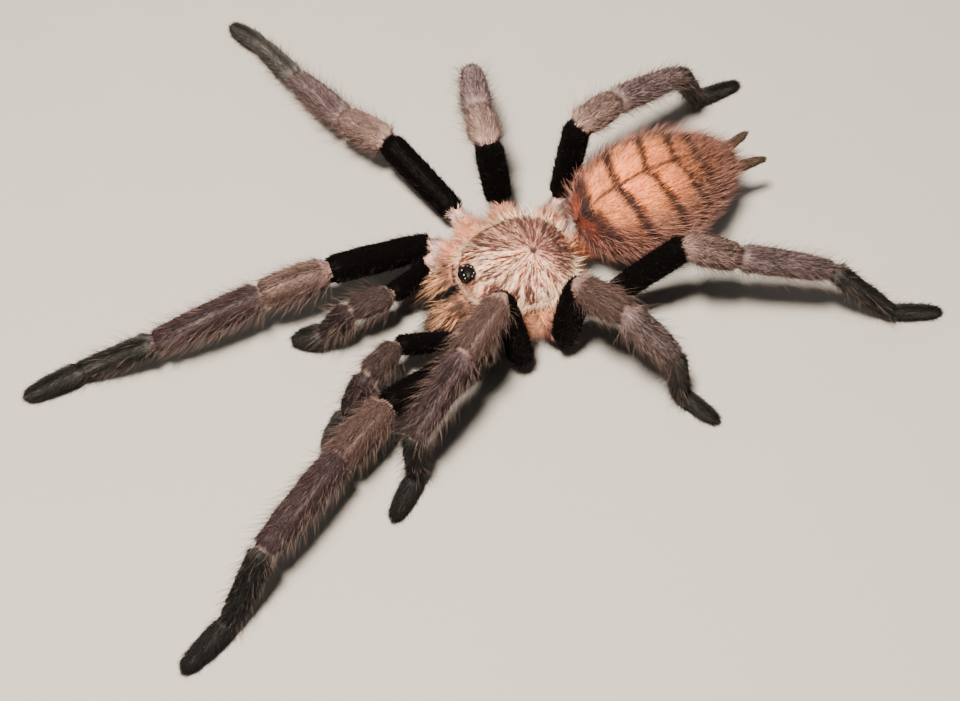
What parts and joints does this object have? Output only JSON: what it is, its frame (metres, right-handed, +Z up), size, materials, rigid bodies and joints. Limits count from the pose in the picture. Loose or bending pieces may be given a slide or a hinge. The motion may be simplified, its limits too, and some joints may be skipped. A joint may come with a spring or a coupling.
{
  "type": "tarantula",
  "caption": "Life-size still model of an adult tiger-banded earth tarantula, walking stance, standing on its own feet.",
  "frame": {"origin": "on the floor, under the middle of the model's bounding box", "axes": "+Z up, the head faces -Y, the animal's own left side is +X"},
  "size_m": [0.1164, 0.149, 0.0286],
  "materials": {
    "carapace_hair": "short radiating hair, pinkish tan with cream and mauve-grey streaks",
    "abdomen_velvet": "dense pinkish-tan velvet with dark tiger bands",
    "underside_hair": "long fluffy pale hair over the coxae, dark velvet below",
    "chelicera_hair": "cream hair with dark stripes",
    "femur_black": "short jet-black velvet",
    "patella_grey_brown": "grey-brown velvet with faint pale stripes",
    "tibia_purple_brown": "grey velvet, purple-brown cast",
    "foot_grey_green": "dark greenish-grey velvet and foot pads",
    "spinneret": "fine olive-grey velvet",
    "fang": "glossy black-brown",
    "eyes": "glossy black"
  },
  "bodies": {
    "root": {"carapace": "carapace_hair", "abdomen": "abdomen_velvet", "eye_tubercle_with_eyes": "eyes", "left_chelicera": "chelicera_hair", "left_fang": "fang", "left_spinneret": "spinneret", "right_chelicera": "chelicera_hair", "right_fang": "fang", "right_spinneret": "spinneret", "sternum_and_coxae": "underside_hair", "pedicel": "underside_hair", "left_leg_1_femur": "femur_black", "left_leg_1_patella": "patella_grey_brown", "left_leg_1_tibia": "tibia_purple_brown", "left_leg_1_metatarsus": "foot_grey_green", "left_leg_1_tarsus": "foot_grey_green", "left_leg_2_femur": "femur_black", "left_leg_2_patella": "patella_grey_brown", "left_leg_2_tibia": "tibia_purple_brown", "left_leg_2_metatarsus": "foot_grey_green", "left_leg_2_tarsus": "foot_grey_green", "left_leg_3_femur": "femur_black", "left_leg_3_patella": "patella_grey_brown", "left_leg_3_tibia": "tibia_purple_brown", "left_leg_3_metatarsus": "foot_grey_green", "left_leg_3_tarsus": "foot_grey_green", "left_leg_4_femur": "femur_black", "left_leg_4_patella": "patella_grey_brown", "left_leg_4_tibia": "tibia_purple_brown", "left_leg_4_metatarsus": "foot_grey_green", "left_leg_4_tarsus": "foot_grey_green", "left_palp_femur": "femur_black", "left_palp_patella": "patella_grey_brown", "left_palp_tibia": "tibia_purple_brown", "left_palp_tarsus": "foot_grey_green", "right_leg_1_femur": "femur_black", "right_leg_1_patella": "patella_grey_brown", "right_leg_1_tibia": "tibia_purple_brown", "right_leg_1_metatarsus": "foot_grey_green", "right_leg_1_tarsus": "foot_grey_green", "right_leg_2_femur": "femur_black", "right_leg_2_patella": "patella_grey_brown", "right_leg_2_tibia": "tibia_purple_brown", "right_leg_2_metatarsus": "foot_grey_green", "right_leg_2_tarsus": "foot_grey_green", "right_leg_3_femur": "femur_black", "right_leg_3_patella": "patella_grey_brown", "right_leg_3_tibia": "tibia_purple_brown", "right_leg_3_metatarsus": "foot_grey_green", "right_leg_3_tarsus": "foot_grey_green", "right_leg_4_femur": "femur_black", "right_leg_4_patella": "patella_grey_brown", "right_leg_4_tibia": "tibia_purple_brown", "right_leg_4_metatarsus": "foot_grey_green", "right_leg_4_tarsus": "foot_grey_green", "right_palp_femur": "femur_black", "right_palp_patella": "patella_grey_brown", "right_palp_tibia": "tibia_purple_brown", "right_palp_tarsus": "foot_grey_green"}
  },
  "joints": []
}
